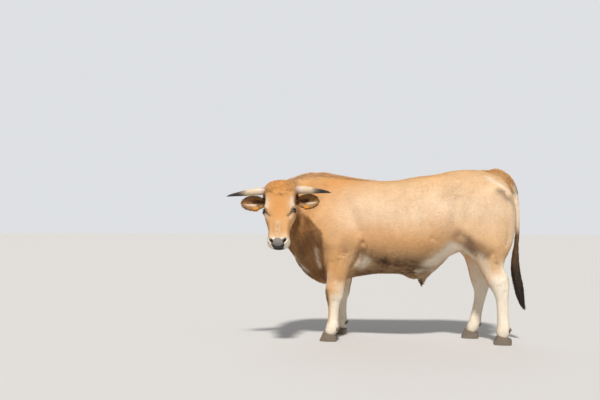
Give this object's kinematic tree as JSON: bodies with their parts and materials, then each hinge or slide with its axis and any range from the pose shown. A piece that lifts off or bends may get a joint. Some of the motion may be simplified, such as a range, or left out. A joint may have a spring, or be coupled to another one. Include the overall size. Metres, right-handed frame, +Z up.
{
  "type": "standing steer",
  "caption": "Life-size still model of a light fawn, horned beef steer standing square with its head turned to its left.",
  "frame": {"origin": "middle of the bounding box's footprint, on the ground the hooves stand on", "axes": "+X along the body from the chest to the tail, +Y to the animal's right, +Z up"},
  "size_m": [2.1406, 1.0886, 1.305],
  "materials": {
    "coat": "short matt hair, light fawn",
    "pale_coat": "short matt hair, near white",
    "switch_hair": "long dark brown hair",
    "horn": "satin ivory with dark tips",
    "hoof": "satin slate brown",
    "eye": "wet gloss, near black",
    "ear_tag": "blank orange plastic"
  },
  "bodies": {
    "root": {"cannon_fore_left": "pale_coat", "cannon_fore_right": "pale_coat", "cannon_hind_left": "pale_coat", "cannon_hind_right": "pale_coat", "claw_fore_left_inner": "hoof", "claw_fore_left_outer": "hoof", "claw_fore_right_inner": "hoof", "claw_fore_right_outer": "hoof", "claw_hind_left_inner": "hoof", "claw_hind_left_outer": "hoof", "claw_hind_right_inner": "hoof", "claw_hind_right_outer": "hoof", "dewclaw_fore_left_inner": "hoof", "dewclaw_fore_left_outer": "hoof", "dewclaw_fore_right_inner": "hoof", "dewclaw_fore_right_outer": "hoof", "dewclaw_hind_left_inner": "hoof", "dewclaw_hind_left_outer": "hoof", "dewclaw_hind_right_inner": "hoof", "dewclaw_hind_right_outer": "hoof", "ear_left": "coat", "ear_right": "coat", "ear_tag_left": "ear_tag", "ear_tag_right": "ear_tag", "eye_left": "eye", "eye_right": "eye", "forearm_left": "coat", "forearm_right": "coat", "gaskin_left": "coat", "gaskin_right": "coat", "head": "coat", "horn_left": "horn", "horn_right": "horn", "neck": "coat", "sheath": "coat", "shoulder_left": "coat", "shoulder_right": "coat", "tail": "coat", "tail_switch": "switch_hair", "thigh_left": "coat", "thigh_right": "coat", "trunk": "coat"}
  },
  "joints": []
}
